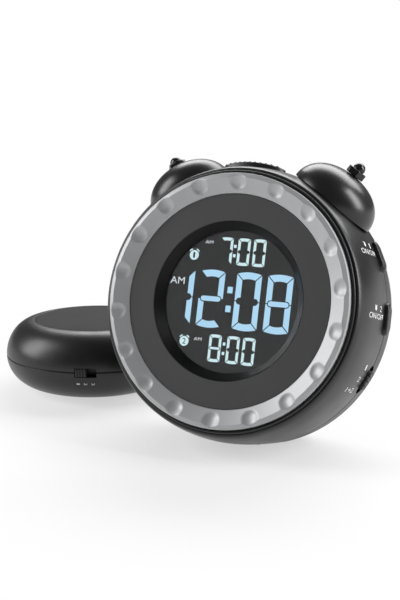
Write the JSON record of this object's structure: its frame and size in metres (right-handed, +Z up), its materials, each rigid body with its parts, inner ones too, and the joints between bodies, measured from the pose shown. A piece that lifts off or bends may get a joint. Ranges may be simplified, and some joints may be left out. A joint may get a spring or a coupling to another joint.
{
  "type": "twin-bell digital alarm clock with bed shaker",
  "caption": "Round leaning digital alarm clock with bell domes, silver scalloped ring, snooze and side keys, and a separate wireless bed shaker puck with a level switch.",
  "frame": {"origin": "centre of the clock's rubber base pad, on the surface it stands on", "axes": "+X to the right seen from the front, +Y to the back, +Z up; the clock faces -Y and leans back"},
  "size_m": [0.2008, 0.1269, 0.1156],
  "materials": {
    "case_black": "satin moulded ABS",
    "bell_black": "satin black paint",
    "finial_black": "gloss black paint",
    "key_black": "satin moulded ABS",
    "ring_silver": "satin silver paint on moulded ABS",
    "plate_grey": "matt fine-grained",
    "bevel_black": "polished",
    "lens_clear": "clear polished acrylic",
    "display_dark": "dark glass-like panel with lit segments",
    "guide_white": "white moulded",
    "board_green": "solder-resist green",
    "switch_black": "moulded",
    "screw_steel": "zinc-plated",
    "speaker_metal": "dark enamel",
    "cell_wrap": "plain printed wrap",
    "contact_nickel": "nickel-plated",
    "rubber_black": "matt rubber",
    "inlay_black": "matt soft-touch",
    "motor_can": "zinc-plated",
    "weight_steel": "sintered",
    "shaker_cell": "plain blue sleeve"
  },
  "bodies": {
    "clock": {"front_housing": "case_black", "rear_cover": "case_black", "bell_left": "bell_black", "bell_right": "bell_black", "finial_left": "finial_black", "finial_right": "finial_black", "bezel_ring": "ring_silver", "face_plate": "plate_grey", "display_bevel": "bevel_black", "display_lens": "lens_clear", "lcd_panel": "display_dark", "light_guide": "guide_white", "display_tray": "guide_white", "main_board": "board_green", "snooze_board": "board_green", "side_strip_right": "board_green", "side_strip_left": "board_green", "rear_board": "board_green", "snooze_switch": "switch_black", "key_switches": "switch_black", "slide_switches": "switch_black", "rear_key_switch": "switch_black", "board_screws": "screw_steel", "rear_screws": "screw_steel", "bell_studs": "screw_steel", "speaker": "speaker_metal", "battery_cells": "cell_wrap", "battery_contacts": "contact_nickel", "power_socket": "contact_nickel", "base_pad": "rubber_black"},
    "snooze": {"snooze_key": "key_black"},
    "alarm_1": {"alarm_1_key": "key_black"},
    "alarm_2": {"alarm_2_key": "key_black"},
    "plus": {"plus_key": "key_black"},
    "minus": {"minus_key": "key_black"},
    "mode": {"mode_knob": "key_black"},
    "volume": {"volume_knob": "key_black"},
    "time_set": {"time_set_key": "key_black"},
    "door": {"battery_door": "case_black"},
    "shaker_level": {"shaker_level_knob": "key_black"},
    "shaker_weight": {"shaker_shaft": "screw_steel", "shaker_weight": "weight_steel"},
    "shaker": {"shaker_top_shell": "case_black", "shaker_bottom_shell": "case_black", "shaker_board": "board_green", "shaker_socket_board": "board_green", "shaker_level_switch": "switch_black", "shaker_screws": "screw_steel", "shaker_socket": "contact_nickel", "shaker_motor_strap": "contact_nickel", "shaker_foot": "rubber_black", "shaker_inlay": "inlay_black", "shaker_motor": "motor_can", "shaker_battery": "shaker_cell"}
  },
  "joints": [
    {"name": "snooze_press", "type": "slide", "parent": "clock", "child": "snooze", "axis": [0, -0.2756, -0.9613], "range_m": [0, 0.0012], "stiffness_N_per_m": 1000, "springref_m": -0.0005},
    {"name": "alarm_1_press", "type": "slide", "parent": "clock", "child": "alarm_1", "axis": [-0.898, -0.1213, -0.4229], "range_m": [0, 0.0008], "stiffness_N_per_m": 1000, "springref_m": -0.0005},
    {"name": "alarm_2_press", "type": "slide", "parent": "clock", "child": "alarm_2", "axis": [-1, -0.0005, -0.0017], "range_m": [0, 0.0008], "stiffness_N_per_m": 1000, "springref_m": -0.0005},
    {"name": "plus_press", "type": "slide", "parent": "clock", "child": "plus", "axis": [0.898, -0.1213, -0.4229], "range_m": [0, 0.0008], "stiffness_N_per_m": 1000, "springref_m": -0.0005},
    {"name": "minus_press", "type": "slide", "parent": "clock", "child": "minus", "axis": [1, -0.0005, -0.0017], "range_m": [0, 0.0008], "stiffness_N_per_m": 1000, "springref_m": -0.0005},
    {"name": "mode_slide", "type": "slide", "parent": "clock", "child": "mode", "axis": [0.4368, 0.248, 0.8647], "range_m": [-0.0019, 0.0019]},
    {"name": "volume_slide", "type": "slide", "parent": "clock", "child": "volume", "axis": [-0.4368, 0.248, 0.8647], "range_m": [-0.0019, 0.0019]},
    {"name": "time_set_press", "type": "slide", "parent": "clock", "child": "time_set", "axis": [0, -0.9613, 0.2756], "range_m": [0, 0.0008], "stiffness_N_per_m": 1000, "springref_m": -0.0005},
    {"name": "battery_door_lift", "type": "slide", "parent": "clock", "child": "door", "axis": [0, 0.9613, -0.2756], "range_m": [0, 0.03]},
    {"name": "shaker_lift", "type": "slide", "parent": "clock", "child": "shaker", "axis": [0, 0, 1], "range_m": [0, 0.2]},
    {"name": "shaker_level_slide", "type": "slide", "parent": "shaker", "child": "shaker_level", "axis": [0.9157, 0.4019, 0], "range_m": [0, 0.0044]},
    {"name": "shaker_weight_spin", "type": "hinge", "parent": "shaker", "child": "shaker_weight", "pos_m": [-0.0992, 0.0445, 0.016], "axis": [0.9157, 0.4019, 0], "continuous": true}
  ]
}
